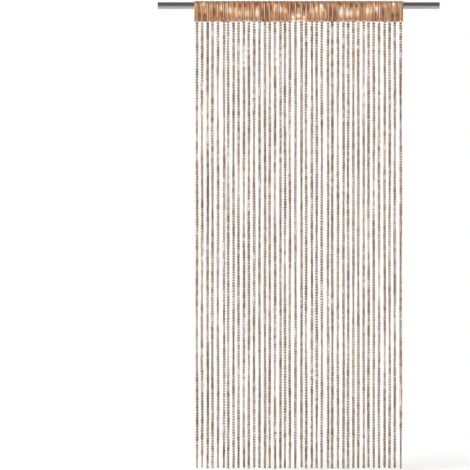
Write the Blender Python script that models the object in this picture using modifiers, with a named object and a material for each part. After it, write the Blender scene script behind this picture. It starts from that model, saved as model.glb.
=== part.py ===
"""Metallic string curtain on a rod, for Blender 4.5. Metres, +Z up, origin at the rod's centre.

A plain round rod lies along X and carries a curtain whose face looks along -Y. The curtain has
two pieces. The header is one band of gathered cloth, closed into a pocket that hangs on the rod.
Below its lower edge, a narrow seam strip holds the roots of a row of flat metallic strings, which
hang free down to a straight cut edge.
"""
import math
import random
from collections import namedtuple

import bmesh
import bpy
from mathutils import Matrix, Vector

# Driving dimensions of the curtain
CURTAIN_WIDTH = 0.900
HEADER_DROP = 0.0696
FRINGE_LENGTH = 1.928
CLOTH_THICKNESS = 0.0012
STRIP_HEIGHT = 0.008
STRIP_DEPTH = 0.0046
STRING_COUNT = 40
STRING_PITCH = 0.02245
STRING_WIDTH = 0.0144
STRING_DEPTH = 0.0064
# Space left between pieces that touch
GAP = 0.0003

# Driving dimensions of the rod
ROD_RADIUS = 0.015
ROD_LENGTH = 1.215
ROD_SIDES = 48

# The header's gathers: one crest over each string, uneven in height and leaning a little
LOW_CREST = 0.0016
HIGH_CREST = 0.0034
HIGH_TROUGH = 0.0005
CREST_LEAN = 0.0030
SEAM_GATHER_SHARE = 0.45
SWELL = 0.0022
SWELL_WAVE = 0.118
POCKET_ARC_STEPS = 8
POCKET_FLAT_STEPS = 3
SEAM_HALF_DEPTH = 0.0013

# How the strings hang
ROOT_SINK = 0.004
ROOT_DEPTH = 0.0036
ROOT_LENGTH = 0.012
SETTLE_LENGTH = 0.150
STRING_STEPS = 20
USUAL_LEAN = 0.0016
CLOSEST_CENTRES = 0.0178
WANDER = 0.0005
WANDER_WAVE = 0.90
SWAY = 0.0022
SWAY_WAVE = 1.15
TURN = math.radians(38)
LONG_TURN_WAVE = 0.78
SHORT_TURN_WAVE = 0.47
CUT_UNEVENNESS = 0.002
STRING_SEED = 7
GATHER_SEED = 3

# Strings whose root sits well off the even row: number from the left, and shift in metres
STRONG_LEANS = {
    5: 0.0040,
    17: -0.0026,
    18: -0.0042,
    19: -0.0024,
    25: 0.0036,
    28: 0.0030,
    39: 0.0026,
}

String = namedtuple("String", "root_x wander_phase sway_phase long_phase short_phase shorter")
Material = namedtuple("Material", "color metallic roughness")

GOLD_CLOTH = Material((0.50, 0.30, 0.16), 0.35, 0.38)
GOLD_THREAD = Material((0.62, 0.42, 0.22), 0.40, 0.40)
GREY_STEEL = Material((0.32, 0.31, 0.32), 0.90, 0.35)


def clear_scene():
    """Remove every object that the new file starts with."""
    for item in list(bpy.data.objects):
        bpy.data.objects.remove(item, do_unlink=True)


def new_collection(name):
    """Return a new collection in the scene."""
    collection = bpy.data.collections.new(name)
    bpy.context.scene.collection.children.link(collection)
    return collection


def move_to(collection, item):
    """Keep the object in this collection only."""
    for owner in list(item.users_collection):
        owner.objects.unlink(item)
    collection.objects.link(item)


def paint(item, name, look):
    """Give the object a Principled material of its own."""
    material = bpy.data.materials.new(name)
    material.use_nodes = True
    shader = material.node_tree.nodes["Principled BSDF"]
    shader.inputs["Base Color"].default_value = (*look.color, 1)
    shader.inputs["Metallic"].default_value = look.metallic
    shader.inputs["Roughness"].default_value = look.roughness
    item.data.materials.append(material)


def mesh_object(name, shape, collection):
    """Turn a bmesh into an object."""
    mesh = bpy.data.meshes.new(name)
    shape.to_mesh(mesh)
    shape.free()
    item = bpy.data.objects.new(name, mesh)
    collection.objects.link(item)
    return item


def join_rings(shape, rings):
    """Join each ring of vertices to the next one with four-sided faces, all the way round."""
    for near, far in zip(rings, rings[1:]):
        for index in range(len(near)):
            after = (index + 1) % len(near)
            shape.faces.new((near[index], near[after], far[after], far[index]))


def string_roots():
    """Return each root's X: the even row, with leans that keep each string clear of the last."""
    draws = random.Random(STRING_SEED)
    roots = []
    for number in range(STRING_COUNT):
        even = (number - (STRING_COUNT - 1) / 2) * STRING_PITCH
        lean = STRONG_LEANS.get(number, draws.uniform(-USUAL_LEAN, USUAL_LEAN))
        least = roots[-1] + CLOSEST_CENTRES if roots else even - USUAL_LEAN
        roots.append(max(even + lean, least))
    return roots


def make_strings():
    """Return the row of strings with the phases of their slow waves."""
    draws = random.Random(STRING_SEED + 1)
    strings = []
    for root_x in string_roots():
        phases = [draws.random() for _ in range(4)]
        strings.append(String(root_x, *phases, draws.uniform(0, CUT_UNEVENNESS)))
    return strings


def wave(drop, length, phase):
    """Return a sine wave of this length at a drop below the root."""
    return math.sin(2 * math.pi * (drop / length + phase))


def string_place(string, drop):
    """Return a string's X, Y and turn about its own length, at a drop below its root."""
    settled = min(1, drop / SETTLE_LENGTH)
    x = string.root_x + settled * WANDER * wave(drop, WANDER_WAVE, string.wander_phase)
    y = settled * SWAY * wave(drop, SWAY_WAVE, string.sway_phase)
    long_turn = wave(drop, LONG_TURN_WAVE, string.long_phase)
    short_turn = wave(drop, SHORT_TURN_WAVE, string.short_phase)
    turn = settled * TURN * (0.65 * long_turn + 0.35 * short_turn)
    return x, y, turn


def string_ring(shape, string, drop, depth):
    """Add the four corners of a string's flat section at a drop below its root."""
    x, y, turn = string_place(string, max(drop, 0))
    place = Matrix.Translation((x, y, -HEADER_DROP - drop)) @ Matrix.Rotation(turn, 4, "Z")
    half_width, half_depth = STRING_WIDTH / 2, depth / 2
    corners = (
        (-half_width, -half_depth),
        (half_width, -half_depth),
        (half_width, half_depth),
        (-half_width, half_depth),
    )
    return [shape.verts.new(place @ Vector((*corner, 0))) for corner in corners]


def add_string(shape, string):
    """Add one string: a root inside the seam strip, then even steps down to the cut end."""
    length = FRINGE_LENGTH - string.shorter
    step = (length - ROOT_LENGTH) / STRING_STEPS
    rings = [string_ring(shape, string, -ROOT_SINK, ROOT_DEPTH)]
    for index in range(STRING_STEPS + 1):
        rings.append(string_ring(shape, string, ROOT_LENGTH + index * step, STRING_DEPTH))
    join_rings(shape, rings)
    shape.faces.new(rings[0])
    shape.faces.new(rings[-1])


def build_fringe(parts, cutters):
    """Build the seam strip and join the row of strings into it."""
    shape = bmesh.new()
    for string in make_strings():
        add_string(shape, string)
    bmesh.ops.recalc_face_normals(shape, faces=shape.faces)
    strings = mesh_object("string_row", shape, cutters)
    strings.hide_render = True
    strings.display_type = "WIRE"

    bpy.ops.mesh.primitive_cube_add(size=1)
    strip = bpy.context.object
    strip.name = "fringe"
    size = Vector((CURTAIN_WIDTH, STRIP_DEPTH, STRIP_HEIGHT))
    middle = Vector((0, 0, -HEADER_DROP + STRIP_HEIGHT / 2))
    strip.data.transform(Matrix.Translation(middle) @ Matrix.Diagonal((*size, 1)))
    move_to(parts, strip)
    union = strip.modifiers.new("strings", "BOOLEAN")
    union.operation = "UNION"
    union.solver = "EXACT"
    union.object = strings
    paint(strip, "gold_thread", GOLD_THREAD)
    return strip


def pocket_loop():
    """Return the pocket's loop round the rod, seen from its end.

    Each point is (y, z, outward y, outward z, share of the gathers, share of the swell). The loop
    is an arc over the rod, and from there the front and the back run straight, as tangents to the
    arc, down to the flat fold at the seam.
    """
    seam_z = -HEADER_DROP + STRIP_HEIGHT + GAP + CLOTH_THICKNESS / 2
    reach = math.hypot(SEAM_HALF_DEPTH, seam_z)
    radius = ROD_RADIUS + GAP + CLOTH_THICKNESS / 2
    seam_angle = math.atan2(seam_z, -SEAM_HALF_DEPTH) + 2 * math.pi
    start = seam_angle - math.acos(radius / reach)
    sweep = 2 * start - math.pi
    radius = (ROD_RADIUS + GAP) / math.cos(sweep / POCKET_ARC_STEPS / 2) + CLOTH_THICKNESS / 2
    front = []
    tangent_y, tangent_z = radius * math.cos(start), radius * math.sin(start)
    for index in range(POCKET_FLAT_STEPS):
        share = index / POCKET_FLAT_STEPS
        y = -SEAM_HALF_DEPTH + share * (tangent_y + SEAM_HALF_DEPTH)
        z = seam_z + share * (tangent_z - seam_z)
        gather = SEAM_GATHER_SHARE + share * (1 - SEAM_GATHER_SHARE)
        front.append((y, z, -1, 0, gather, math.sin(math.pi * share)))
    over = []
    for index in range(POCKET_ARC_STEPS + 1):
        angle = start - sweep * index / POCKET_ARC_STEPS
        out_y, out_z = math.cos(angle), math.sin(angle)
        over.append((radius * out_y, radius * out_z, out_y, out_z, 1, 0))
    back = [(-y, z, -out_y, out_z, gather, swell) for y, z, out_y, out_z, gather, swell in front]
    return front + over + back[::-1]


def gather_columns():
    """Return the header's columns from left to right, as (x at the seam, x on the rod, height)."""
    draws = random.Random(GATHER_SEED)
    half = CURTAIN_WIDTH / 2
    roots = string_roots()
    columns = [(-half, -half, draws.uniform(0, HIGH_TROUGH))]
    for index, root in enumerate(roots):
        inward = -math.copysign(CREST_LEAN, root) * math.sin(math.pi * abs(root) / half)
        crest = draws.uniform(LOW_CREST, HIGH_CREST)
        columns.append((root, root - inward, crest))
        if index + 1 < len(roots):
            between = (root + roots[index + 1]) / 2
            columns.append((between, between - inward, draws.uniform(0, HIGH_TROUGH)))
    columns.append((half, half, draws.uniform(0, HIGH_TROUGH)))
    return columns


def header_ring(shape, loop, column):
    """Add one column of the header: the pocket's loop, pushed out by the gather there."""
    seam_x, rod_x, height = column
    ring = []
    for y, z, out_y, out_z, gather, swell in loop:
        x = seam_x + gather * (rod_x - seam_x)
        bulge = SWELL * swell * (1 + math.cos(2 * math.pi * x / SWELL_WAVE))
        push = gather * height + bulge
        ring.append(shape.verts.new((x, y + push * out_y, z + push * out_z)))
    return ring


def build_header(parts):
    """Build the gathered rod pocket: an open sleeve of cloth, given its thickness by Solidify."""
    shape = bmesh.new()
    loop = pocket_loop()
    join_rings(shape, [header_ring(shape, loop, column) for column in gather_columns()])
    bmesh.ops.recalc_face_normals(shape, faces=shape.faces)
    header = mesh_object("header", shape, parts)
    header.data.shade_smooth()
    wall = header.modifiers.new("cloth", "SOLIDIFY")
    wall.thickness = CLOTH_THICKNESS
    wall.offset = 0
    wall.use_even_offset = True
    paint(header, "gold_cloth", GOLD_CLOTH)
    return header


def build_rod(parts):
    """Build the plain round rod along X."""
    bpy.ops.mesh.primitive_cylinder_add(vertices=ROD_SIDES, radius=ROD_RADIUS, depth=ROD_LENGTH)
    rod = bpy.context.object
    rod.name = "rod"
    rod.data.transform(Matrix.Rotation(math.pi / 2, 4, "Y"))
    rod.data.shade_smooth()
    rod.data.set_sharp_from_angle(angle=math.radians(40))
    move_to(parts, rod)
    paint(rod, "grey_steel", GREY_STEEL)
    return rod


def main():
    """Build the curtain and its rod."""
    clear_scene()
    parts = new_collection("metallic_string_curtain")
    cutters = new_collection("strings_to_join")
    build_rod(parts)
    build_header(parts)
    build_fringe(parts, cutters)


main()
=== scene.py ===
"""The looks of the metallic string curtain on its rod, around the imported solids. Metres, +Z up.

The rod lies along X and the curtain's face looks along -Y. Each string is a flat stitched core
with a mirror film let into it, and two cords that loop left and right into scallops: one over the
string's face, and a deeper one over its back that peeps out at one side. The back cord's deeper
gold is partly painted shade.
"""

import math
import random
from collections import namedtuple

import bpy
import numpy as np
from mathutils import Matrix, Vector


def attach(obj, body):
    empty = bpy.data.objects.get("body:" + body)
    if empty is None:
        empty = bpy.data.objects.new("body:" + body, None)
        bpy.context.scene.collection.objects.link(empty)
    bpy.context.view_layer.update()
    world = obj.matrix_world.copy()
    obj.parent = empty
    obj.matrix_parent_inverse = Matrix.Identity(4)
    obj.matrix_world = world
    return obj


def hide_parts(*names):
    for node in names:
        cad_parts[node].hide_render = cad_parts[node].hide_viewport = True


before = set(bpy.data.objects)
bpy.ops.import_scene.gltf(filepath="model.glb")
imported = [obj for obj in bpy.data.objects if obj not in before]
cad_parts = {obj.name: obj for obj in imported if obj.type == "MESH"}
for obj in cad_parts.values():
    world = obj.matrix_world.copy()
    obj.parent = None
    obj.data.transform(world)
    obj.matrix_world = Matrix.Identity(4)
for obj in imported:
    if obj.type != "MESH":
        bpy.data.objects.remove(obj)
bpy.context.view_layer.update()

# The curtain, as its solids are cut
CURTAIN_WIDTH = 0.900
HEADER_DROP = 0.0696
FRINGE_LENGTH = 1.928
STRIP_HEIGHT = 0.008
STRIP_DEPTH = 0.0046
STRING_COUNT = 40
STRING_PITCH = 0.02245
GAP = 0.0003
ROD_RADIUS = 0.015
CURTAIN_BOTTOM = -HEADER_DROP - FRINGE_LENGTH

# How the strings hang, as in their solids
SETTLE_LENGTH = 0.150
USUAL_LEAN = 0.0016
CLOSEST_CENTRES = 0.0178
WANDER = 0.0005
WANDER_WAVE = 0.90
SWAY = 0.0022
SWAY_WAVE = 1.15
TURN = math.radians(38)
LONG_TURN_WAVE = 0.78
LONG_TURN_SHARE = 0.65
SHORT_TURN_WAVE = 0.47
SHORT_TURN_SHARE = 0.35
CUT_UNEVENNESS = 0.002
STRING_SEED = 7
# Strings whose root sits well off the even row: number from the left, from 0, and shift
STRONG_LEANS = {
    5: 0.0040,
    17: -0.0026,
    18: -0.0042,
    19: -0.0024,
    25: 0.0036,
    28: 0.0030,
    39: 0.0026,
}

# The header's gathers, as in its solid: one crest over each string
GATHER_SEED = 3
LOW_CREST = 0.0016
HIGH_CREST = 0.0034
HIGH_TROUGH = 0.0005
CREST_LEAN = 0.0030
SEAM_GATHER_SHARE = 0.45
SWELL = 0.0022
SWELL_WAVE = 0.118
SEAM_HALF_DEPTH = 0.0013

# The header's cloth in finer detail than its solid
CLOTH_THICKNESS = 0.0009
POCKET_ARC_STEPS = 11
POCKET_FLAT_STEPS = 7
# Where the columns of points stand from a crest (0) to the next trough (1)
COLUMN_STEPS = (0, 0.07, 0.15, 0.26, 0.42, 0.62, 0.82)
RIB_HEIGHT = 0.0012
RIB_WIDTH = 0.0012
WRINKLE = 0.0004
WRINKLE_LENGTHS = (0.034, 0.021, 0.0135, 0.0093, 0.0067)
WRINKLE_SEED = 5
PUCKER = 0.0006
# Over the rod: how far the cloth stands off, the share of the gathers that is pressed flat, and
# the power by which the ribs fade out on the way there
TOP_LIFT = 0.0018
TOP_FLATTENING = 0.6
RIB_FADE = 1.5
# The brown lines of painted shadow beside each rib: how far from it they run, their width and their
# strength
RIB_SHADOW_PLACE = 0.0030
RIB_SHADOW_WIDTH = 0.0015
RIB_SHADOW_SHARE = 0.35
# How far the seam band reaches up into the pocket's lower fold, and how round its edges are
HEM_TUCK = 0.001
HEM_ROUNDING = 0.0012
# How far the band's face lies inside its strip, and what stands out of the face
HEM_INSET = 0.0007
HEM_GATHER_SHARE = 0.4
HEM_RIB_HEIGHT = 0.0008
HEM_LUMP = 0.0009
# The lumps are wrinkles, this many times shorter than the cloth's, that change down the band
LUMP_SHORTENING = 1.7
LUMP_CHANGE = 9
LUMP_SEED = 8
# The band is as pale as the cloth, painted sheen and shade included, this far above its lower edge
HEM_PALENESS_RISE = 0.02
# The cut that the pocket was sewn from: its width before gathering, and its length round the rod
CUT_LENGTH = 0.19

# One link of a string: the length from one mirror square to the next
LINK_LENGTH = 0.0115
LINK_LENGTH_SPREAD = 0.012
# How far a string reaches up into the seam band
ROOT_SINK = 0.003
# A scallop: where it leaves the core, its reach from there, half its height, its bulge, and the
# power of the cosine by which it bulges
SCALLOP_FOOT = 0.0022
SCALLOP_REACH = 0.0027
SCALLOP_HALF_HEIGHT = 0.0043
SCALLOP_BULGE = 0.0016
SCALLOP_ROUNDING = 0.8
SCALLOP_UNEVENNESS = 0.10
# The sections along a scallop: degrees from its middle, and size
FACE_SECTIONS = ((-84, 0.30), (-46, 0.90), (0, 1.0), (46, 0.90), (84, 0.30))
BACK_SECTIONS = ((-82, 0.25), (-34, 0.95), (34, 0.95), (82, 0.25))
# A scallop's full section: place away from the scallop's middle, height out of its face, and
# share of the way from the web's inner edge (0) to the rim's outer edge (1)
FACE_SCALLOP = np.array(((0.0009, 0.0, 1.0), (0.0, 0.0010, 0.72), (-0.0022, -0.0003, 0.0)))
BACK_SCALLOP = np.array(((0.0009, 0.0, 1.0), (0.0, 0.0010, 0.78), (-0.0044, -0.0002, 0.0)))
# The face's and the back's cord lie this far to opposite sides of the string's middle
CORD_OFFSET = 0.0014
# The flat core, with a stitch column along each edge and a channel for the film between them
CORE_HALF_WIDTH = 0.0032
CHANNEL_HALF_WIDTH = 0.0021
COLUMN_HEIGHT = 0.0012
CHANNEL_HEIGHT = 0.0003
PAD_HEIGHT = 0.0016
FILM_HALF_WIDTH = 0.0020
FILM_HEIGHT = 0.0009
# The film is modelled in stretches of so many links, and it ends this far above the string's end
FILM_STRETCH = 4
FILM_END = 0.0015
# Strings with their golden side to the front, its deeper gold partly painted shade: numbers from
# the left, from 0
TURNED_STRINGS = (2, 8, 13, 20, 26, 31, 36)
YARN_SEED = 100
# A string's tone, from 0, dark, to 1, pale: the range for its share all the way down, how much
# paler its top is painted, as painted light against the header's shadow, and how far down that
# fades, and the length and strength of its slow waves
LOW_TONE = 0.3
HIGH_TONE = 0.7
TOP_PAINTED_LIGHT = 0.3
TOP_LIGHT_FADE = 0.02
TONE_WAVES = ((0.61, 0.15), (0.23, 0.13), (0.083, 0.10))

# Colours, each a row of stops: a place from 0 to 1, and the colour there.
# The header's cloth from brown to cream: where it looks warm, where cooler, and over the rod, where
# it is painted greyer as shade
WARM_CLOTH = (
    (0.1, "6C3C16"),
    (0.35, "8A5628"),
    (0.55, "A2784E"),
    (0.75, "C09E7E"),
    (1.0, "DAC2AA"),
)
COOL_CLOTH = (
    (0.1, "64422A"),
    (0.35, "805E42"),
    (0.55, "9E826C"),
    (0.75, "BCA898"),
    (1.0, "DACEC6"),
)
TOP_SHADE_CLOTH = (
    (0.1, "665648"),
    (0.35, "7E6E60"),
    (0.55, "978779"),
    (0.75, "B8A99B"),
    (1.0, "DDD1C6"),
)
# The yarn's faint tints, from lilac grey through pink, none and olive yellow to orange
YARN_TINTS = (
    (0.30, "E6E2F2"),
    (0.42, "F6E4E0"),
    (0.50, "FFFFFF"),
    (0.58, "F3F0DA"),
    (0.70, "F0D6BC"),
)
# The core's pads and stitch columns, from the darkest yarn to the palest
PAD_COLORS = ((0.2, "CDB392"), (0.45, "EEDFC8"), (0.75, "FFFDFA"))
ROPE_COLORS = ((0.2, "7C562E"), (0.5, "B0885C"), (0.8, "D8BC9A"))
# The film's squares from violet black through lilac to white, and the line across each. The dark
# squares are partly painted reflection of dark surroundings, on the film's own violet tint
FILM_COLORS = (
    (0.3, "1C1113"),
    (0.76, "2C202A"),
    (0.84, "7A728C"),
    (0.88, "CFCBD0"),
    (1.0, "DEDADC"),
)
FILM_LINES = ((0.3, "8A84A8"), (0.8, "8A84A8"), (0.88, "2A2026"), (1.0, "2A2026"))
STEEL_COLORS = ((0.3, "A9A4A6"), (0.7, "BDB8BA"))
# The studio's light all round, from straight below to straight above
STUDIO_LIGHT = (
    (0.0, "F0ECEA"),
    (0.27, "D8D4D2"),
    (0.37, "5A5657"),
    (0.6, "585455"),
    (1.0, "7C7879"),
)
# The core's grooves, its shade between the pads, its olive gaps, and the holes in its pads
GROOVE_COLOR = "7E5A34"
SHADE_COLOR = "3E2817"
OLIVE_GAP_COLOR = "5E4E2A"
HOLE_COLOR = "2A1B14"
RIB_COLOR = "DCAE88"
FLOOR_COLOR = "F4F3F2"
BACKDROP_COLOR = "FFFFFF"

# Noise in the finishes, in grains to the metre along X, Y and Z
SPECKLE_GRAINS = (330.0, 330.0, 330.0)
LINK_GRAINS = (42.0, 42.0, 42.0)
YARN_HUE_GRAINS = (37.0, 37.0, 8.0)
THREAD_GRAINS = (520.0, 9.0, 18.0)
FOLD_GRAINS = (170.0, 8.0, 13.0)
CLOTH_HUE_GRAINS = (30.0, 10.0, 18.0)
WEAVE_GRAINS = (1500.0, 120.0, 120.0)
STEEL_GRAINS = (3.0, 900.0, 900.0)
# How noise changes a tone: it is multiplied by the first number, and the second is added
SPECKLE_CHANGE = (0.5, -0.25)
LINK_CHANGE = (3.2, -1.3)
THREAD_CHANGE = (1.1, -0.75)
FOLD_CHANGE = (1.0, -0.6)
RUN_CHANGE = (1.6, -0.45)
# The bumps of each finish: how deep they are, and how strongly they show
CORD_BUMPS = (0.0003, 0.5)
CORE_BUMPS = (0.0004, 0.5)
CLOTH_BUMPS = (0.0025, 0.7)
STEEL_BUMPS = (0.0002, 0.12)
# A looping cord's masks, each from where it is 0 to where it is 1: the rim, across the cord, the
# scallops beside pads, in pairs of scallops, and a scallop's painted shade at its ends, from its
# middle
RIM_EDGE = (0.40, 0.58)
PAD_SCALLOP_EDGE = (0.49, 0.51)
SCALLOP_END_SHADE_EDGE = (0.26, 0.40)
# How pale the webs beside pads are; the webs beside the mirror squares stay deeper, as painted
# shade
PAD_SCALLOP_PALENESS = 0.8
PLY_GROOVE_STRENGTH = 0.4
SCALLOP_END_SHADE_STRENGTH = 0.85
# The core's masks: its stitch columns, across it, a pad's hole, along and across, and the shade
# between pads. Along the core they are measured in links from a pad's middle
COLUMN_EDGE = (0.56, 0.64)
PAD_MIDDLE = 0.75
HOLE_LENGTH_EDGE = (0.05, 0.025)
HOLE_WIDTH_EDGE = (0.34, 0.2)
SHADE_EDGE = (0.20, 0.34)
SHADE_STRENGTH = 0.9
CORE_GROOVE_STRENGTH = 0.5
# The film: how far its slow noise moves on from square to square and from string to string, and
# how much each square has of its own
RUN_STEPS = (0.11, 7.3)
OWN_SHADE = 0.45
# The line across each square: its place in the link, its half width on dark and on white squares,
# how softly it ends, and its strength
LINE_PLACE = 0.29
WHITE_EDGE = (0.8, 0.88)
LINE_HALF_WIDTHS = (0.012, 0.045)
LINE_SOFTNESS = 0.018
LINE_STRENGTH = 0.7
# The cloth: how much its patches of painted sheen and shade count, where it turns cool, and how
# high over the rod's axis it turns grey with painted shade
SHEEN_AND_SHADE_STRENGTH = 1.6
COOL_EDGE = (0.42, 0.62)
TOP_SHADE_EDGE = (0.004, 0.016)
TOP_SHADE_STRENGTH = 0.7
RIB_STRENGTH = 0.8
WEAVE_SHARE = 0.2

# The camera stands level, a little to the left, so that the curtain hangs right of the middle
FRAME_PIXELS = 470
PIXEL_SIZE = 0.004314
CAMERA_SIDE = -0.2744
CAMERA_HEIGHT = -0.9902
CAMERA_DISTANCE = 10.0
SENSOR_WIDTH = 0.036
# Millimetres in a metre
MILLIMETRES = 1000
# The floor: how far it lies below the strings, its size, between which distances it fades in, and
# how much light it gives off itself
FLOOR_CLEARANCE = 0.012
FLOOR_RADIUS = 2.4
FLOOR_SIDES = 96
FLOOR_FADE = (2.3, 0.8)
FLOOR_GLOW = 0.35
# The studio's wide soft lamps: the way to each, how narrow it is, and its strength
SOFT_LAMPS = (
    ((-0.78, -0.52, 0.12), 16, 15.0),
    ((0.85, -0.50, -0.10), 10, 4.0),
    ((0.30, 0.90, 0.30), 4, 2.0),
)

String = namedtuple("String", "root_x wander_phase sway_phase long_phase short_phase shorter")
# A string's cut: its length, its link's length, how many links it has, a cut one counted as whole,
# and the share of the first link that is above the seam band's lower edge
Cut = namedtuple("Cut", "length link count hidden")
Part = namedtuple("Part", "points quads caps uv")
Patch = namedtuple("Patch", "across drop half_width half_height paleness")
# How a looping cord looks: the stops of its rim and its web, and its dark gaps, whose colour also
# paints the shade at each scallop's ends
CordLook = namedtuple("CordLook", "rims webs gaps metallic roughness")

CREAM_CORD = CordLook(
    rims=((0.15, "A68A6E"), (0.4, "D2BEAA"), (0.6, "EBE0D7"), (0.85, "FFFCFA")),
    webs=((0.2, "74543A"), (0.5, "987A60"), (0.8, "BCA28C")),
    gaps="4A331F",
    metallic=0.15,
    roughness=0.38,
)
# The back's cord: a deeper gold, partly its own colour and partly painted shade, as it hangs behind
# the face's cord
SHADED_GOLD_CORD = CordLook(
    rims=((0.15, "96673C"), (0.5, "C39C76"), (0.85, "E4CFBA")),
    webs=((0.2, "5A3416"), (0.5, "7E5628"), (0.8, "A47C4C")),
    gaps="3A2010",
    metallic=0.3,
    roughness=0.36,
)

# Soft patches of painted sheen and shade on the gathered cloth, alike to both sides of its middle:
# millimetres from the middle and below the rod's axis, and how much paler (or browner, below 0) the
# cloth is painted there
SHEEN_AND_SHADE_PATCHES = (
    Patch(410, -4, 7, 6, 0.9),
    Patch(370, 7, 8, 5, 0.6),
    Patch(333, 15, 5, 10, 0.9),
    Patch(297, 24, 13, 14, 0.7),
    Patch(255, 34, 7, 12, 0.6),
    Patch(220, 35, 13, 14, 0.65),
    Patch(181, 30, 8, 17, 0.6),
    Patch(350, 14, 8, 12, 0.2),
    Patch(98, 3, 5, 6, 0.9),
    Patch(104, 18, 8, 10, 0.6),
    Patch(77, 18, 5, 14, 0.9),
    Patch(57, 24, 8, 10, 0.6),
    Patch(22, 53, 7, 8, 0.9),
    Patch(2, 45, 7, 7, 1.0),
    Patch(427, 44, 5, 10, -0.8),
    Patch(404, 44, 8, 10, -0.8),
    Patch(367, 28, 7, 20, -1.0),
    Patch(326, 44, 8, 10, -0.8),
    Patch(278, 0, 8, 6, -0.6),
    Patch(250, 3, 7, 6, -0.6),
    Patch(224, 0, 12, 6, -0.6),
    Patch(179, -3, 10, 6, -0.6),
    Patch(152, 36, 8, 16, -1.0),
    Patch(135, 28, 8, 20, -1.0),
    Patch(119, 11, 5, 10, -0.7),
    Patch(63, 1, 6, 5, -0.6),
    Patch(42, 13, 5, 16, -0.7),
    Patch(24, 11, 7, 13, -1.0),
    Patch(1, 3, 7, 7, -0.9),
)


def screen_color(text):
    """Turn a hex colour as seen on a screen into the linear values that a shader takes."""
    parts = [int(text[start:start + 2], 16) / 255 for start in (0, 2, 4)]
    linear = [p / 12.92 if p <= 0.04045 else ((p + 0.055) / 1.055) ** 2.4 for p in parts]
    return (*linear, 1)


# Mesh helpers

def new_mesh(name, points, face_groups, uv, materials):
    """Make a smooth mesh object from points, face arrays of one corner count each, and point UV."""
    mesh = bpy.data.meshes.new(name)
    corners = np.concatenate([np.asarray(group, np.int32).ravel() for group in face_groups])
    sizes = np.concatenate([np.full(len(group), np.shape(group)[1]) for group in face_groups])
    mesh.vertices.add(len(points))
    mesh.vertices.foreach_set("co", np.asarray(points, np.float32).ravel())
    mesh.loops.add(len(corners))
    mesh.loops.foreach_set("vertex_index", corners)
    mesh.polygons.add(len(sizes))
    mesh.polygons.foreach_set("loop_start", np.concatenate([[0], np.cumsum(sizes)[:-1]]))
    mesh.polygons.foreach_set("use_smooth", np.ones(len(sizes), bool))
    layer = mesh.uv_layers.new(name="along")
    layer.data.foreach_set("uv", np.asarray(uv, np.float32)[corners].ravel())
    mesh.update(calc_edges=True)
    for material in materials:
        mesh.materials.append(material)
    item = bpy.data.objects.new(name, mesh)
    bpy.context.scene.collection.objects.link(item)
    return item


def set_attribute(item, name, values):
    """Store one number for each point of a mesh under a name that its material reads."""
    attribute = item.data.attributes.new(name, "FLOAT", "POINT")
    attribute.data.foreach_set("value", np.asarray(values, np.float32).ravel())


def ring_quads(rings, sides):
    """Faces of a tube of rings of points, each ring joined to the next all the way round."""
    ring, side = np.meshgrid(np.arange(rings - 1), np.arange(sides), indexing="ij")
    after = (side + 1) % sides
    near = ring * sides
    far = near + sides
    return np.stack([near + side, near + after, far + after, far + side], -1).reshape(-1, 4)


def tube(points, uv):
    """A closed tube from a grid of points, ring by ring, with a cap at each end."""
    rings, sides = points.shape[:2]
    last = (rings - 1) * sides
    caps = np.array([np.arange(sides)[::-1], last + np.arange(sides)])
    return Part(points.reshape(-1, 3), ring_quads(rings, sides), caps, uv.reshape(-1, 2))


def turned_over(part):
    """The same part with every face turned to look the other way."""
    return part._replace(quads=part.quads[:, ::-1], caps=part.caps[:, ::-1])


def join(parts):
    """Join parts: points, UV, faces in groups of one corner count, and each face's part."""
    starts = np.cumsum([0] + [len(part.points) for part in parts])
    points = np.concatenate([part.points for part in parts])
    uv = np.concatenate([part.uv for part in parts])
    groups, owner = [], []
    for number, part in enumerate(parts):
        for group in (part.quads, part.caps):
            groups.append(group + starts[number])
            owner.append(np.full(len(group), number))
    return points, uv, groups, np.concatenate(owner)


def grid_uv(along, across):
    """UV of a grid: the first number by ring, the second by the place in the ring."""
    return np.stack(np.broadcast_arrays(along[:, None], across), -1)


def unit(vectors):
    """Scale each vector to a length of one."""
    return vectors / np.linalg.norm(vectors, axis=-1, keepdims=True)


# How the strings hang

def string_roots():
    """Each root's X: the even row, with leans that keep each string clear of the last."""
    draws = random.Random(STRING_SEED)
    roots = []
    for number in range(STRING_COUNT):
        even = (number - (STRING_COUNT - 1) / 2) * STRING_PITCH
        lean = STRONG_LEANS.get(number, draws.uniform(-USUAL_LEAN, USUAL_LEAN))
        least = roots[-1] + CLOSEST_CENTRES if roots else even - USUAL_LEAN
        roots.append(max(even + lean, least))
    return roots


def make_strings():
    """The row of strings with the phases of their slow waves, drawn as for the solids."""
    draws = random.Random(STRING_SEED + 1)
    strings = []
    for root_x in string_roots():
        phases = [draws.random() for _ in range(4)]
        strings.append(String(root_x, *phases, draws.uniform(0, CUT_UNEVENNESS)))
    return strings


def wave(drop, length, phase):
    """A sine wave of this length, read at drops below the root."""
    return np.sin(2 * np.pi * (drop / length + phase))


def on_string(string, across, out, drop):
    """Carry points given across a string, out of its face and down it, to where it hangs.

    The string's middle wanders by one slow sine along X and another along Y, and the string turns
    about its own length by the sum of two sines. All of them start from nothing at the root.
    """
    settled = np.clip(drop / SETTLE_LENGTH, 0, 1)
    x = string.root_x + settled * WANDER * wave(drop, WANDER_WAVE, string.wander_phase)
    y = settled * SWAY * wave(drop, SWAY_WAVE, string.sway_phase)
    long_turn = wave(drop, LONG_TURN_WAVE, string.long_phase)
    short_turn = wave(drop, SHORT_TURN_WAVE, string.short_phase)
    turn = settled * TURN * (LONG_TURN_SHARE * long_turn + SHORT_TURN_SHARE * short_turn)
    cos, sin = np.cos(turn), np.sin(turn)
    hung_x = x + across * cos + out * sin
    hung_y = y + across * sin - out * cos
    return np.stack(np.broadcast_arrays(hung_x, hung_y, -HEADER_DROP - drop), -1)


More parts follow.
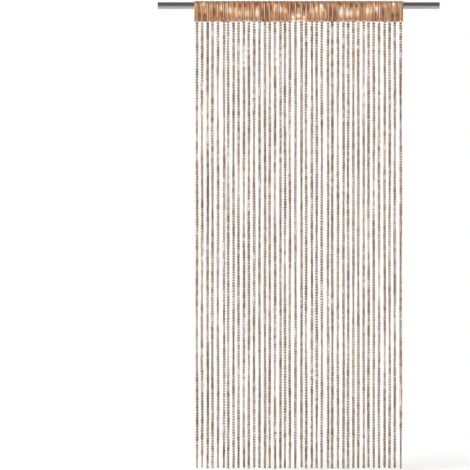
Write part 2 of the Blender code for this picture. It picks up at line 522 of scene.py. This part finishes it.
def string_out(string, drop):
    """The direction out of a string's face at each drop, as unit vectors."""
    return on_string(string, 0, 1, drop) - on_string(string, 0, 0, drop)


# One string

def scallop_cord(string, cut, rng, first_side, face):
    """A cord that loops into scallops, on the string's face (1) or its back (-1).

    Each link has two scallops, one to each side, half a link apart. Where the face's cord loops to
    one side the back's loops to the other, so that both stand out furthest at a mirror square. A
    scallop is half an ellipse in the string's plane, from a foot in the core out to its reach and
    back, and it rises out of the face by a power of its cosine. Its section is a flat triangle: a
    raised rim, and a web from there in to the core. Between two scallops the cord runs thin inside
    the core. A scallop whose middle isn't on the string is left out.
    """
    sections, full = (FACE_SECTIONS, FACE_SCALLOP) if face == 1 else (BACK_SECTIONS, BACK_SCALLOP)
    degrees, size = np.array(sections).T
    number = np.arange(2 * cut.count)
    middle = cut.link * (number / 2 + 0.25 - cut.hidden)
    kept = (middle > 0) & (middle < cut.length)
    count = np.count_nonzero(kept)
    number, middle = np.repeat((number[kept], middle[kept]), len(sections), 1)
    angle = np.tile(np.radians(degrees), count)
    side = face * first_side * np.where(number % 2 == 0, -1, 1)
    uneven = rng.uniform(-SCALLOP_UNEVENNESS, SCALLOP_UNEVENNESS, (3, count))
    reach, bulge, height = 1 + uneven.repeat(len(sections), 1)
    rise = np.cos(angle)
    across = side * (SCALLOP_FOOT + SCALLOP_REACH * reach * rise) - face * first_side * CORD_OFFSET
    out = face * SCALLOP_BULGE * bulge * rise ** SCALLOP_ROUNDING
    drop = middle + SCALLOP_HALF_HEIGHT * height * np.sin(angle)
    drop = np.clip(drop, -ROOT_SINK, cut.length)
    line = on_string(string, across, out, drop)
    along = unit(np.gradient(line, axis=0))
    outward = face * string_out(string, drop)
    outward = unit(outward - (outward * along).sum(1, keepdims=True) * along)
    away = -(side * face)[:, None] * np.cross(along, outward)
    turned = (side * face > 0)[:, None, None]
    section = np.where(turned, full[::-1], full)
    scale = np.tile(size, count)[:, None, None]
    spread = scale * section[:, :, :1] * away[:, None]
    raised = scale * section[:, :, 1:2] * outward[:, None]
    uv = grid_uv(number + angle / np.pi + 0.5, section[:, :, 2])
    return turned_over(tube(line[:, None] + spread + raised, uv))


def core_part(string, cut, offset):
    """A string's flat core, as a section carried down the string.

    The section has a stitch column at each edge and a channel between them. At each mirror square
    the channel lies low, and half a link on it rises to a pad over the film.
    """
    number = np.arange(2 * cut.count + 2)
    drop = cut.link * (number / 2 - 0.25 - cut.hidden)
    drop = np.clip(drop, -ROOT_SINK, cut.length)
    middle = np.where(number % 2 == 1, CHANNEL_HEIGHT, PAD_HEIGHT)
    column = np.full(len(number), COLUMN_HEIGHT)
    edge, channel = CORE_HALF_WIDTH, CHANNEL_HALF_WIDTH
    section = ((-edge, column), (-channel, middle), (channel, middle), (edge, column),
               (edge, -column), (0, -middle), (-edge, -column))
    across = np.array([place for place, _ in section])
    out = np.stack([height for _, height in section], -1)
    points = on_string(string, across + offset, out, drop[:, None])
    along = drop / cut.link + cut.hidden
    return turned_over(tube(points, grid_uv(along, 0.5 + across / (2 * edge))))


def film_part(string, cut, offset, number):
    """A string's mirror film: a flat strip inside the core, seen where its channel lies low."""
    links = np.append(np.arange(0, cut.count, FILM_STRETCH), cut.count)
    drop = np.clip(cut.link * (links - cut.hidden), 0, cut.length - FILM_END)
    across = np.array([-1, 1, 1, -1]) * FILM_HALF_WIDTH
    out = np.array([1, 1, -1, -1]) * FILM_HEIGHT
    points = on_string(string, across + offset, out, drop[:, None])
    row = number + 0.5 + across / (4 * FILM_HALF_WIDTH)
    return turned_over(tube(points, grid_uv(drop / cut.link + cut.hidden, row)))


def tone_of(points, rng):
    """A slow change of colour down a string: the string's own share and three sine waves.

    The top of each string is painted a little paler, as painted light that offsets the header's
    shadow.
    """
    drop = -HEADER_DROP - points[:, 2]
    tone = rng.uniform(LOW_TONE, HIGH_TONE) + TOP_PAINTED_LIGHT * np.exp(-drop / TOP_LIGHT_FADE)
    for length, share in TONE_WAVES:
        tone += share * wave(drop, length, rng.uniform())
    return np.clip(tone, 0, 1)


def build_string(number, string, materials):
    """Build one string, and return it with its film's part."""
    rng = np.random.default_rng(YARN_SEED + number)
    length = FRINGE_LENGTH - string.shorter
    link = LINK_LENGTH * (1 + rng.uniform(-LINK_LENGTH_SPREAD, LINK_LENGTH_SPREAD))
    hidden = rng.uniform(0, 1)
    cut = Cut(length, link, math.ceil(length / link + hidden), hidden)
    side = int(rng.choice((-1, 1)))
    offset = -side * CORD_OFFSET
    front = scallop_cord(string, cut, rng, side, 1)
    core = core_part(string, cut, offset)
    back = scallop_cord(string, cut, rng, side, -1)
    points, uv, groups, owner = join([front, core, back])
    item = new_mesh(f"string_{number + 1:02d}", points, groups, uv, materials)
    item.data.polygons.foreach_set("material_index", owner)
    set_attribute(item, "tone", tone_of(points, rng))
    return item, film_part(string, cut, offset, number)


# The header

def gather_columns():
    """The gathers from left to right, as in the solid: (x at the seam, x on the rod, height)."""
    draws = random.Random(GATHER_SEED)
    half = CURTAIN_WIDTH / 2
    roots = string_roots()
    columns = [(-half, -half, draws.uniform(0, HIGH_TROUGH))]
    for index, root in enumerate(roots):
        inward = -math.copysign(CREST_LEAN, root) * math.sin(math.pi * abs(root) / half)
        crest = draws.uniform(LOW_CREST, HIGH_CREST)
        columns.append((root, root - inward, crest))
        if index + 1 < len(roots):
            between = (root + roots[index + 1]) / 2
            columns.append((between, between - inward, draws.uniform(0, HIGH_TROUGH)))
    columns.append((half, half, draws.uniform(0, HIGH_TROUGH)))
    return np.array(columns)


def fine_columns():
    """Columns of points that follow the gathers, closest at each crest.

    Returns each column's x at the seam and on the rod, its height, rounded from crest to trough by
    a cosine, and its distance from the nearest crest.
    """
    gathers = gather_columns()
    after_crest = np.array(COLUMN_STEPS)
    after_trough = np.concatenate([[0], 1 - after_crest[:0:-1]])
    spans = [i + (after_crest if i % 2 else after_trough) for i in range(len(gathers) - 1)]
    place = np.concatenate(spans + [[len(gathers) - 1]])
    before = np.minimum(place.astype(int), len(gathers) - 2)
    share = (place - before)[:, None]
    seam_x, rod_x = (gathers[before] + share * (gathers[before + 1] - gathers[before]))[:, :2].T
    rounded = 0.5 - 0.5 * np.cos(np.pi * share[:, 0])
    height = gathers[before, 2] + rounded * (gathers[before + 1, 2] - gathers[before, 2])
    crest = np.clip(before + (before + 1) % 2, 1, len(gathers) - 2)
    return seam_x, rod_x, height, seam_x - gathers[crest, 0]


def pocket_loop():
    """The pocket's loop round the rod, as rows y, z, out y, out z, gather share, swell share.

    It is an arc over the rod, and from there the front and the back run straight, as tangents to
    the arc, down to the flat fold at the seam.
    """
    seam_z = -HEADER_DROP + STRIP_HEIGHT + GAP + CLOTH_THICKNESS / 2
    reach = math.hypot(SEAM_HALF_DEPTH, seam_z)
    radius = ROD_RADIUS + 2 * GAP + CLOTH_THICKNESS / 2
    start = math.atan2(seam_z, -SEAM_HALF_DEPTH) + 2 * math.pi - math.acos(radius / reach)
    angle = np.linspace(start, math.pi - start, POCKET_ARC_STEPS + 1)
    out_y, out_z = np.cos(angle), np.sin(angle)
    arc = np.stack([radius * out_y, radius * out_z, out_y, out_z, 1 + 0 * angle, 0 * angle], -1)
    share = np.arange(POCKET_FLAT_STEPS) / POCKET_FLAT_STEPS
    y = -SEAM_HALF_DEPTH + share * (arc[0, 0] + SEAM_HALF_DEPTH)
    z = seam_z + share * (arc[0, 1] - seam_z)
    gather = SEAM_GATHER_SHARE + share * (1 - SEAM_GATHER_SHARE)
    front = np.stack([y, z, -1 + 0 * y, 0 * y, gather, np.sin(np.pi * share)], -1)
    back = front[::-1] * np.array([-1, 1, -1, 1, 1, 1])
    return np.concatenate([front, arc, back])


def wrinkles(x, turn, seed):
    """Small uneven folds, as a sum of slanting sine waves with random places, from 0 to 1."""
    rng = np.random.default_rng(seed)
    total = np.zeros(np.broadcast(x, turn).shape)
    for length in WRINKLE_LENGTHS:
        slant, phase, fading, place = rng.uniform((-1, 0, 0.5, 0), (1, 1, 1.5, 1))
        strength = 0.5 + 0.5 * np.sin(2 * np.pi * (fading * turn + place))
        total += strength * np.sin(2 * np.pi * (x / length + slant * turn + phase))
    return 0.5 + total / (2 * len(WRINKLE_LENGTHS))


def paleness(x, z):
    """How pale the cloth is painted, from 0, brown, to 1, cream: the sum of its bell-shaped patches
    of painted sheen and shade.
    """
    pale = np.zeros(np.broadcast(x, z).shape)
    for patch in SHEEN_AND_SHADE_PATCHES:
        across = (np.abs(x) * MILLIMETRES - patch.across) / patch.half_width
        down = (-z * MILLIMETRES - patch.drop) / patch.half_height
        pale += patch.paleness * np.exp(-across ** 2 - down ** 2)
    return np.clip(0.5 + 0.5 * pale, 0, 1)


def bell(distance, width):
    """A bell-shaped curve: 1 at no distance, and 0.37 at its width."""
    return np.exp(-(distance / width) ** 2)


def build_header(material):
    """Build the gathered pocket: its loop carried from side to side, then given a thickness.

    The cloth stands off its loop by the gathers, a slow swell, a narrow bell-shaped rib over each
    string, puckers where it is pale, and wrinkles. Over the rod the gathers and ribs flatten, and
    the whole cloth stands a little further off. A brown line of painted shadow runs down each side
    of a rib.
    """
    seam_x, rod_x, gather_height, off_crest = (row[:, None] for row in fine_columns())
    loop = pocket_loop()
    y, z, out_y, out_z, gather, swell = loop.T
    turn = np.linspace(0, 1, len(loop))
    x = seam_x + gather * (rod_x - seam_x)
    over = np.clip(out_z, 0, 1)
    rib = bell(off_crest, RIB_WIDTH) * (1 - over) ** RIB_FADE
    # Painted shadow: a brown line down each side of a rib, in the valleys of the gathers
    rib_shadow = bell(np.abs(off_crest) - RIB_SHADOW_PLACE, RIB_SHADOW_WIDTH) * (1 - over)
    # Painted sheen and shade: the cloth's pale and brown patches
    pale = paleness(x, z)
    folds = WRINKLE * wrinkles(x, turn, WRINKLE_SEED)
    height = gather * (1 - TOP_FLATTENING * over) * gather_height + TOP_LIFT * over
    height = height + SWELL * swell * (1 + np.cos(2 * np.pi * x / SWELL_WAVE))
    height = height + gather * (RIB_HEIGHT * rib + PUCKER * pale) + folds
    points = np.stack([x, y + height * out_y, z + height * out_z], -1).reshape(-1, 3)
    quads = ring_quads(len(x), len(loop))[:, ::-1]
    uv = np.stack(np.broadcast_arrays(x, turn * CUT_LENGTH), -1).reshape(-1, 2)
    header = new_mesh("header_cloth", points, [quads], uv, [material])
    set_attribute(header, "rib", rib)
    set_attribute(header, "pale", pale - RIB_SHADOW_SHARE * rib_shadow * (1 - 0.5 * pale))
    wall = header.modifiers.new("cloth", "SOLIDIFY")
    wall.thickness = CLOTH_THICKNESS
    wall.offset = 0
    return header


def build_hem(material):
    """Build the seam band under the header: a rounded bar with the gathers' ends and lumps."""
    seam_x, _, gather_height, off_crest = fine_columns()
    low = -HEADER_DROP
    top = low + STRIP_HEIGHT + HEM_TUCK
    bottom_edge, top_edge = low + HEM_ROUNDING, top - HEM_ROUNDING / 3
    section = ((-1, bottom_edge), (-1, top_edge), (-0.8, top), (0.8, top),
               (1, top_edge), (1, bottom_edge), (0.5, low), (-0.5, low))
    depth, z = np.array(section).T
    rib = bell(off_crest, RIB_WIDTH)
    lumps = HEM_LUMP * wrinkles(LUMP_SHORTENING * seam_x[:, None], LUMP_CHANGE * z, LUMP_SEED)
    raised = (HEM_GATHER_SHARE * gather_height + HEM_RIB_HEIGHT * rib)[:, None]
    stand = STRIP_DEPTH / 2 + raised + lumps - HEM_INSET
    points = np.stack(np.broadcast_arrays(seam_x[:, None], depth * stand, z), -1)
    part = turned_over(tube(points, grid_uv(seam_x, z)))
    hem = new_mesh("hem_band", part.points, [part.quads, part.caps], part.uv, [material])
    set_attribute(hem, "rib", np.repeat(rib, len(section)))
    pale = paleness(seam_x, low + HEM_PALENESS_RISE)
    set_attribute(hem, "pale", np.repeat(pale, len(section)))
    return hem


# Node helpers

def new_material(name, metallic, roughness):
    """A Principled material, returned with its node tree and its shader."""
    material = bpy.data.materials.new(name)
    material.use_nodes = True
    tree = material.node_tree
    shader = tree.nodes["Principled BSDF"]
    shader.inputs["Metallic"].default_value = metallic
    shader.inputs["Roughness"].default_value = roughness
    return material, tree, shader


def add_node(tree, kind, values=None, **settings):
    """Add a node, set its properties, and fill its inputs with numbers or links by name."""
    node = tree.nodes.new(kind)
    for key, value in settings.items():
        setattr(node, key, value)
    for key, value in (values or {}).items():
        if isinstance(value, bpy.types.NodeSocket):
            tree.links.new(value, node.inputs[key])
        else:
            node.inputs[key].default_value = value
    return node


def calc(tree, operation, *values):
    """The result of one sum on numbers or sockets."""
    return add_node(tree, "ShaderNodeMath", dict(enumerate(values)), operation=operation).outputs[0]


def fade(tree, value, start, end):
    """A smooth change from 0, where the value is at start, to 1, where it is at end."""
    values = {"Value": value, "From Min": start, "From Max": end}
    return add_node(tree, "ShaderNodeMapRange", values, interpolation_type="SMOOTHSTEP").outputs[0]


def mix_numbers(tree, factor, below, above):
    """Mix two numbers or sockets."""
    return add_node(tree, "ShaderNodeMix", {0: factor, 2: below, 3: above}).outputs[0]


def mix_colors(tree, factor, below, above):
    """Mix two colours, each a hex text or a socket."""
    colors = [screen_color(color) if isinstance(color, str) else color for color in (below, above)]
    values = {0: factor, 6: colors[0], 7: colors[1]}
    return add_node(tree, "ShaderNodeMix", values, data_type="RGBA").outputs[2]


def add_ramp(tree, factor, stops):
    """A colour ramp through (place, hex colour) stops."""
    ramp = add_node(tree, "ShaderNodeValToRGB", {"Fac": factor})
    elements = ramp.color_ramp.elements
    while len(elements) < len(stops):
        elements.new(0.5)
    for element, (place, color) in zip(elements, stops):
        element.position = place
        element.color = screen_color(color)
    return ramp.outputs["Color"]


def read_uv(tree):
    """The two numbers of a piece's own UV map."""
    uv = add_node(tree, "ShaderNodeUVMap", uv_map="along")
    split = add_node(tree, "ShaderNodeSeparateXYZ", {"Vector": uv.outputs["UV"]})
    return split.outputs["X"], split.outputs["Y"]


def add_noise(tree, scales, detail):
    """Noise on the piece's own place in space, at so many grains to the metre along X, Y and Z."""
    place = add_node(tree, "ShaderNodeTexCoord")
    values = {"Vector": place.outputs["Object"], "Scale": scales}
    grains = add_node(tree, "ShaderNodeMapping", values)
    values = {"Vector": grains.outputs["Vector"], "Scale": 1.0, "Detail": detail}
    return add_node(tree, "ShaderNodeTexNoise", values).outputs["Fac"]


def read_attribute(tree, name):
    """One number stored on the piece's points."""
    return add_node(tree, "ShaderNodeAttribute", attribute_name=name).outputs["Fac"]


def add_bump(tree, shader, height, distance, strength):
    """Turn a height map into bumps on a shader."""
    values = {"Height": height, "Strength": strength, "Distance": distance}
    raised = add_node(tree, "ShaderNodeBump", values)
    tree.links.new(raised.outputs["Normal"], shader.inputs["Normal"])


def new_group(name, inputs, outputs):
    """A shader node group of numbers with named sockets: its tree, its inputs and its outputs."""
    group = bpy.data.node_groups.new(name, "ShaderNodeTree")
    for direction, names in (("INPUT", inputs), ("OUTPUT", outputs)):
        for socket_name in names:
            group.interface.new_socket(
                name=socket_name, in_out=direction, socket_type="NodeSocketFloat"
            )
    given = group.nodes.new("NodeGroupInput").outputs
    return group, given, group.nodes.new("NodeGroupOutput").inputs


def use_group(tree, group, values=None):
    """Place a group in a material, with its own numbers and links, and return its outputs."""
    return add_node(tree, "ShaderNodeGroup", values, node_tree=group).outputs


# Finishes

def make_ply_group():
    """Twisted plies: ridges, as a sine of ridges along plus slant across, and their grooves."""
    names = ("Along", "Across", "Ridges", "Slant")
    group, given, made = new_group("twisted_plies", names, ("Height", "Groove"))
    along = calc(group, "MULTIPLY", given["Along"], given["Ridges"])
    slanted = calc(group, "MULTIPLY_ADD", given["Across"], given["Slant"], along)
    sine = calc(group, "SINE", calc(group, "MULTIPLY", slanted, 2 * math.pi))
    group.links.new(calc(group, "MULTIPLY_ADD", sine, 0.5, 0.5), made["Height"])
    group.links.new(fade(group, sine, -0.1, -0.9), made["Groove"])
    return group


def make_dot_group():
    """Small dots in a row: so many along, in a band of some half width at a place across."""
    names = ("Along", "Across", "Dots", "Place", "Half width")
    group, given, made = new_group("stitch_dots", names, ("Mask",))
    turns = calc(group, "MULTIPLY", given["Along"], given["Dots"])
    turns = calc(group, "MULTIPLY", turns, 2 * math.pi)
    along = fade(group, calc(group, "COSINE", turns), 0.25, 0.75)
    off = calc(group, "ABSOLUTE", calc(group, "SUBTRACT", given["Across"], given["Place"]))
    across = fade(group, calc(group, "DIVIDE", off, given["Half width"]), 1.0, 0.5)
    group.links.new(calc(group, "MULTIPLY", along, across), made["Mask"])
    return group


def make_tone_group():
    """A string's changes from dark to pale and from hue to hue, link to link and in speckles."""
    group, _, made = new_group("yarn_tone", (), ("Tone", "Hue"))
    speckle = calc(group, "MULTIPLY_ADD", add_noise(group, SPECKLE_GRAINS, 2.0), *SPECKLE_CHANGE)
    links = calc(group, "MULTIPLY_ADD", add_noise(group, LINK_GRAINS, 2.0), *LINK_CHANGE)
    tone = calc(group, "MULTIPLY_ADD", read_attribute(group, "tone"), 0.7, speckle)
    group.links.new(calc(group, "ADD", tone, links), made["Tone"])
    group.links.new(add_noise(group, YARN_HUE_GRAINS, 2.0), made["Hue"])
    return group


def tinted(tree, hue, color):
    """A yarn's colour with a faint tint: lilac grey, pink, none, olive yellow or orange."""
    tint = add_ramp(tree, hue, YARN_TINTS)
    values = {0: 1.0, 6: color, 7: tint}
    mixed = add_node(tree, "ShaderNodeMix", values, data_type="RGBA", blend_type="MULTIPLY")
    return mixed.outputs[2]


def scallop_material(name, groups, look):
    """A looping cord: a pale twisted rim, a deeper web inside it, and dark gaps between stitches.

    The web of each second scallop, beside a pad, is nearly as pale as the rim; the webs beside the
    mirror squares keep a deeper colour as painted shade. Each scallop gets dark towards its ends,
    as painted shade where the cord dives under the core.
    """
    material, tree, shader = new_material(name, look.metallic, look.roughness)
    along, across = read_uv(tree)
    place = {"Along": along, "Across": across}
    yarn = use_group(tree, groups["tone"])
    tone = yarn["Tone"]
    plies = use_group(tree, groups["plies"], place | {"Ridges": 9.0, "Slant": 1.3})
    dots = use_group(tree, groups["dots"], place | {"Dots": 3.0, "Place": 0.3, "Half width": 0.2})
    rim = fade(tree, across, *RIM_EDGE)
    # Painted shade: the webs beside the mirror squares stay deeper than those beside pads
    at_pad = calc(tree, "FRACT", calc(tree, "MULTIPLY", along, 0.5))
    at_pad = fade(tree, at_pad, *PAD_SCALLOP_EDGE)
    pale = calc(tree, "MAXIMUM", rim, calc(tree, "MULTIPLY", at_pad, PAD_SCALLOP_PALENESS))
    color = mix_colors(tree, pale, add_ramp(tree, tone, look.webs), add_ramp(tree, tone, look.rims))
    grooves = calc(tree, "MULTIPLY", plies["Groove"], PLY_GROOVE_STRENGTH)
    color = mix_colors(tree, grooves, color, look.gaps)
    color = mix_colors(tree, dots["Mask"], color, look.gaps)
    # Painted shade at each scallop's ends, where the cord dives under the core
    off_middle = calc(tree, "ABSOLUTE", calc(tree, "SUBTRACT", calc(tree, "FRACT", along), 0.5))
    end_shade = fade(tree, off_middle, *SCALLOP_END_SHADE_EDGE)
    end_shade = calc(tree, "MULTIPLY", end_shade, SCALLOP_END_SHADE_STRENGTH)
    color = mix_colors(tree, end_shade, color, look.gaps)
    tree.links.new(tinted(tree, yarn["Hue"], color), shader.inputs["Base Color"])
    height = calc(tree, "MULTIPLY_ADD", rim, 0.8, plies["Height"])
    add_bump(tree, shader, calc(tree, "SUBTRACT", height, dots["Mask"]), *CORD_BUMPS)
    return material


def core_material(groups):
    """The stitched core: two rope-like columns with olive gaps, and ribbed pads over the film.

    Each pad has a dark hole in its middle, and between pads the core is in shade.
    """
    material, tree, shader = new_material("stitched_core", 0.2, 0.4)
    along, share = read_uv(tree)
    across = calc(tree, "ABSOLUTE", calc(tree, "MULTIPLY_ADD", share, 2.0, -1.0))
    place = {"Along": along, "Across": across}
    yarn = use_group(tree, groups["tone"])
    tone = yarn["Tone"]
    rope = use_group(tree, groups["plies"], place | {"Ridges": 4.0, "Slant": 1.0})
    threads = use_group(tree, groups["plies"], place | {"Ridges": 11.0, "Slant": 0.6})
    column = fade(tree, across, *COLUMN_EDGE)
    outer = use_group(tree, groups["dots"], place | {"Dots": 4.0, "Place": 0.97, "Half width": 0.2})
    inner = use_group(tree, groups["dots"], place | {"Dots": 4.0, "Place": 0.6, "Half width": 0.1})
    gaps = calc(tree, "MAXIMUM", outer["Mask"], inner["Mask"])
    within = calc(tree, "FRACT", along)
    off_pad = calc(tree, "ABSOLUTE", calc(tree, "SUBTRACT", within, PAD_MIDDLE))
    hole = fade(tree, off_pad, *HOLE_LENGTH_EDGE)
    hole = calc(tree, "MULTIPLY", hole, fade(tree, across, *HOLE_WIDTH_EDGE))
    shade = calc(tree, "MULTIPLY", fade(tree, off_pad, *SHADE_EDGE), SHADE_STRENGTH)
    pad_color, rope_color = add_ramp(tree, tone, PAD_COLORS), add_ramp(tree, tone, ROPE_COLORS)
    color = mix_colors(tree, column, pad_color, rope_color)
    groove = mix_numbers(tree, column, threads["Groove"], rope["Groove"])
    groove = calc(tree, "MULTIPLY", groove, CORE_GROOVE_STRENGTH)
    color = mix_colors(tree, groove, color, GROOVE_COLOR)
    color = mix_colors(tree, shade, color, SHADE_COLOR)
    color = mix_colors(tree, gaps, color, OLIVE_GAP_COLOR)
    color = mix_colors(tree, hole, color, HOLE_COLOR)
    tree.links.new(tinted(tree, yarn["Hue"], color), shader.inputs["Base Color"])
    height = mix_numbers(tree, column, threads["Height"], rope["Height"])
    height = calc(tree, "SUBTRACT", height, calc(tree, "MAXIMUM", hole, gaps))
    add_bump(tree, shader, height, *CORE_BUMPS)
    return material


def film_material():
    """Mirror film: violet black, lilac and white squares, with a lilac line or a dark slit; dark
    squares partly painted reflection.
    """
    material, tree, shader = new_material("mirror_film", 0.8, 0.3)
    along, share = read_uv(tree)
    square, row = calc(tree, "FLOOR", along), calc(tree, "FLOOR", share)
    slow_x = calc(tree, "MULTIPLY", square, RUN_STEPS[0])
    slow_y = calc(tree, "MULTIPLY", row, RUN_STEPS[1])
    slow_place = add_node(tree, "ShaderNodeCombineXYZ", {"X": slow_x, "Y": slow_y}).outputs[0]
    values = {"Vector": slow_place, "Scale": 1.0, "Detail": 1.0}
    runs = add_node(tree, "ShaderNodeTexNoise", values).outputs["Fac"]
    square_place = add_node(tree, "ShaderNodeCombineXYZ", {"X": square, "Y": row}).outputs[0]
    values = {"Vector": square_place}
    single = add_node(tree, "ShaderNodeTexWhiteNoise", values).outputs["Value"]
    runs = calc(tree, "MULTIPLY_ADD", runs, *RUN_CHANGE)
    shade = calc(tree, "MULTIPLY_ADD", single, OWN_SHADE, runs)
    within = calc(tree, "FRACT", along)
    off_line = calc(tree, "ABSOLUTE", calc(tree, "SUBTRACT", within, LINE_PLACE))
    width = mix_numbers(tree, fade(tree, shade, *WHITE_EDGE), *LINE_HALF_WIDTHS)
    line = fade(tree, calc(tree, "SUBTRACT", off_line, width), LINE_SOFTNESS, 0.0)
    line = calc(tree, "MULTIPLY", line, LINE_STRENGTH)
    # The dark squares are partly painted reflection of dark surroundings, on the film's own violet
    # tint
    squares, lines = add_ramp(tree, shade, FILM_COLORS), add_ramp(tree, shade, FILM_LINES)
    color = mix_colors(tree, line, squares, lines)
    tree.links.new(color, shader.inputs["Base Color"])
    return material


def cloth_material():
    """The shiny cloth of the header and its band: brown to cream by its patches of painted sheen
    and shade, with peach ribs.

    Fine threads and small folds run down it, and over the rod it is painted greyer, as shade and
    the dark studio's reflection.
    """
    material, tree, shader = new_material("gathered_cloth", 0.15, 0.5)
    threads = calc(tree, "MULTIPLY_ADD", add_noise(tree, THREAD_GRAINS, 2.0), *THREAD_CHANGE)
    folds = add_noise(tree, FOLD_GRAINS, 1.0)
    grain = calc(tree, "ADD", threads, calc(tree, "MULTIPLY_ADD", folds, *FOLD_CHANGE))
    # The stored paleness is painted sheen and shade; the threads and folds add the cloth's own
    # grain
    pale = calc(tree, "MULTIPLY_ADD", read_attribute(tree, "pale"), SHEEN_AND_SHADE_STRENGTH, grain)
    hue = fade(tree, add_noise(tree, CLOTH_HUE_GRAINS, 1.0), *COOL_EDGE)
    warm, cool = add_ramp(tree, pale, WARM_CLOTH), add_ramp(tree, pale, COOL_CLOTH)
    color = mix_colors(tree, hue, warm, cool)
    # Painted shade: high over the rod's axis the cloth turns greyer, as shade and the dark studio's
    # reflection
    place = add_node(tree, "ShaderNodeTexCoord").outputs["Object"]
    height = add_node(tree, "ShaderNodeSeparateXYZ", {"Vector": place}).outputs["Z"]
    over = calc(tree, "MULTIPLY", fade(tree, height, *TOP_SHADE_EDGE), TOP_SHADE_STRENGTH)
    color = mix_colors(tree, over, color, add_ramp(tree, pale, TOP_SHADE_CLOTH))
    rib = calc(tree, "MULTIPLY", read_attribute(tree, "rib"), RIB_STRENGTH)
    color = mix_colors(tree, rib, color, RIB_COLOR)
    tree.links.new(color, shader.inputs["Base Color"])
    weave = add_noise(tree, WEAVE_GRAINS, 2.0)
    add_bump(tree, shader, calc(tree, "MULTIPLY_ADD", weave, WEAVE_SHARE, folds), *CLOTH_BUMPS)
    return material


def steel_material():
    """Grey satin steel, drawn along its length: fine lines in its colour and its surface."""
    material, tree, shader = new_material("satin_steel", 1.0, 0.28)
    lines = add_noise(tree, STEEL_GRAINS, 3.0)
    color = add_ramp(tree, lines, STEEL_COLORS)
    tree.links.new(color, shader.inputs["Base Color"])
    add_bump(tree, shader, lines, *STEEL_BUMPS)
    return material


# Stage, light and camera

def build_floor():
    """A pale floor under the strings' ends that fades into the surroundings."""
    bpy.ops.mesh.primitive_circle_add(
        vertices=FLOOR_SIDES,
        radius=FLOOR_RADIUS,
        fill_type="NGON",
        location=(0, 0, CURTAIN_BOTTOM - FLOOR_CLEARANCE),
    )
    floor = bpy.context.object
    floor.name = "floor"
    material, tree, shader = new_material("pale_floor", 0.0, 0.9)
    shader.inputs["Base Color"].default_value = screen_color(FLOOR_COLOR)
    shader.inputs["Emission Color"].default_value = (1, 1, 1, 1)
    shader.inputs["Emission Strength"].default_value = FLOOR_GLOW
    place = add_node(tree, "ShaderNodeTexCoord")
    reach = add_node(tree, "ShaderNodeVectorMath", {0: place.outputs["Object"]}, operation="LENGTH")
    tree.links.new(fade(tree, reach.outputs["Value"], *FLOOR_FADE), shader.inputs["Alpha"])
    floor.data.materials.append(material)


def build_world():
    """A white backdrop, and studio light all round: pale low down, with a few wide soft lamps."""
    world = bpy.data.worlds.new("studio")
    bpy.context.scene.world = world
    world.use_nodes = True
    tree = world.node_tree
    direction = add_node(tree, "ShaderNodeTexCoord").outputs["Generated"]
    split = add_node(tree, "ShaderNodeSeparateXYZ", {"Vector": direction})
    height = calc(tree, "MULTIPLY_ADD", split.outputs["Z"], 0.5, 0.5)
    light = add_ramp(tree, height, STUDIO_LIGHT)
    for towards, narrowness, strength in SOFT_LAMPS:
        values = {0: direction, 1: tuple(Vector(towards).normalized())}
        near = add_node(tree, "ShaderNodeVectorMath", values, operation="DOT_PRODUCT")
        lamp = calc(tree, "POWER", calc(tree, "MAXIMUM", near.outputs["Value"], 0.0), narrowness)
        values = {0: light, 1: calc(tree, "MULTIPLY", lamp, strength)}
        light = add_node(tree, "ShaderNodeVectorMath", values, operation="ADD").outputs[0]
    camera_ray = add_node(tree, "ShaderNodeLightPath").outputs["Is Camera Ray"]
    color = mix_colors(tree, camera_ray, light, BACKDROP_COLOR)
    tree.links.new(color, tree.nodes["Background"].inputs["Color"])


def build_camera():
    """A level camera before the curtain, with the photograph's framing."""
    data = bpy.data.cameras.new("camera")
    data.sensor_width = SENSOR_WIDTH * MILLIMETRES
    data.lens = data.sensor_width * CAMERA_DISTANCE / (FRAME_PIXELS * PIXEL_SIZE)
    camera = bpy.data.objects.new("camera", data)
    bpy.context.scene.collection.objects.link(camera)
    camera.location = (CAMERA_SIDE, -CAMERA_DISTANCE, CAMERA_HEIGHT)
    camera.rotation_euler = (math.pi / 2, 0, 0)
    bpy.context.scene.camera = camera


def dress(item, slot, *nodes):
    """Let a piece ride on the curtain's body, and hide the solids that it stands for. The slot is
    not used.
    """
    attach(item, "root")
    if nodes:
        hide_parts(*nodes)


def main():
    """Build every piece, the stage and the camera."""
    build_camera()
    groups = {"plies": make_ply_group(), "dots": make_dot_group(), "tone": make_tone_group()}
    cream = scallop_material("cream_scallops", groups, CREAM_CORD)
    shaded_gold = scallop_material("shaded_gold_scallops", groups, SHADED_GOLD_CORD)
    core = core_material(groups)
    films = []
    for number, string in enumerate(make_strings()):
        layers = [shaded_gold, core, cream] if number in TURNED_STRINGS else [cream, core, shaded_gold]
        item, film = build_string(number, string, layers)
        dress(item, "string_yarn", "fringe")
        films.append(film)
    points, uv, faces, _ = join(films)
    film = new_mesh("mirror_film", points, faces, uv, [film_material()])
    dress(film, "mirror_film", "fringe")
    cloth = cloth_material()
    hem = build_hem(cloth)
    dress(hem, "header_cloth", "fringe")
    header = build_header(cloth)
    dress(header, "header_cloth", "header")
    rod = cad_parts["rod"]
    rod.data.materials.clear()
    rod.data.materials.append(steel_material())
    build_floor()
    build_world()
    bpy.context.scene.view_settings.view_transform = "Standard"


main()
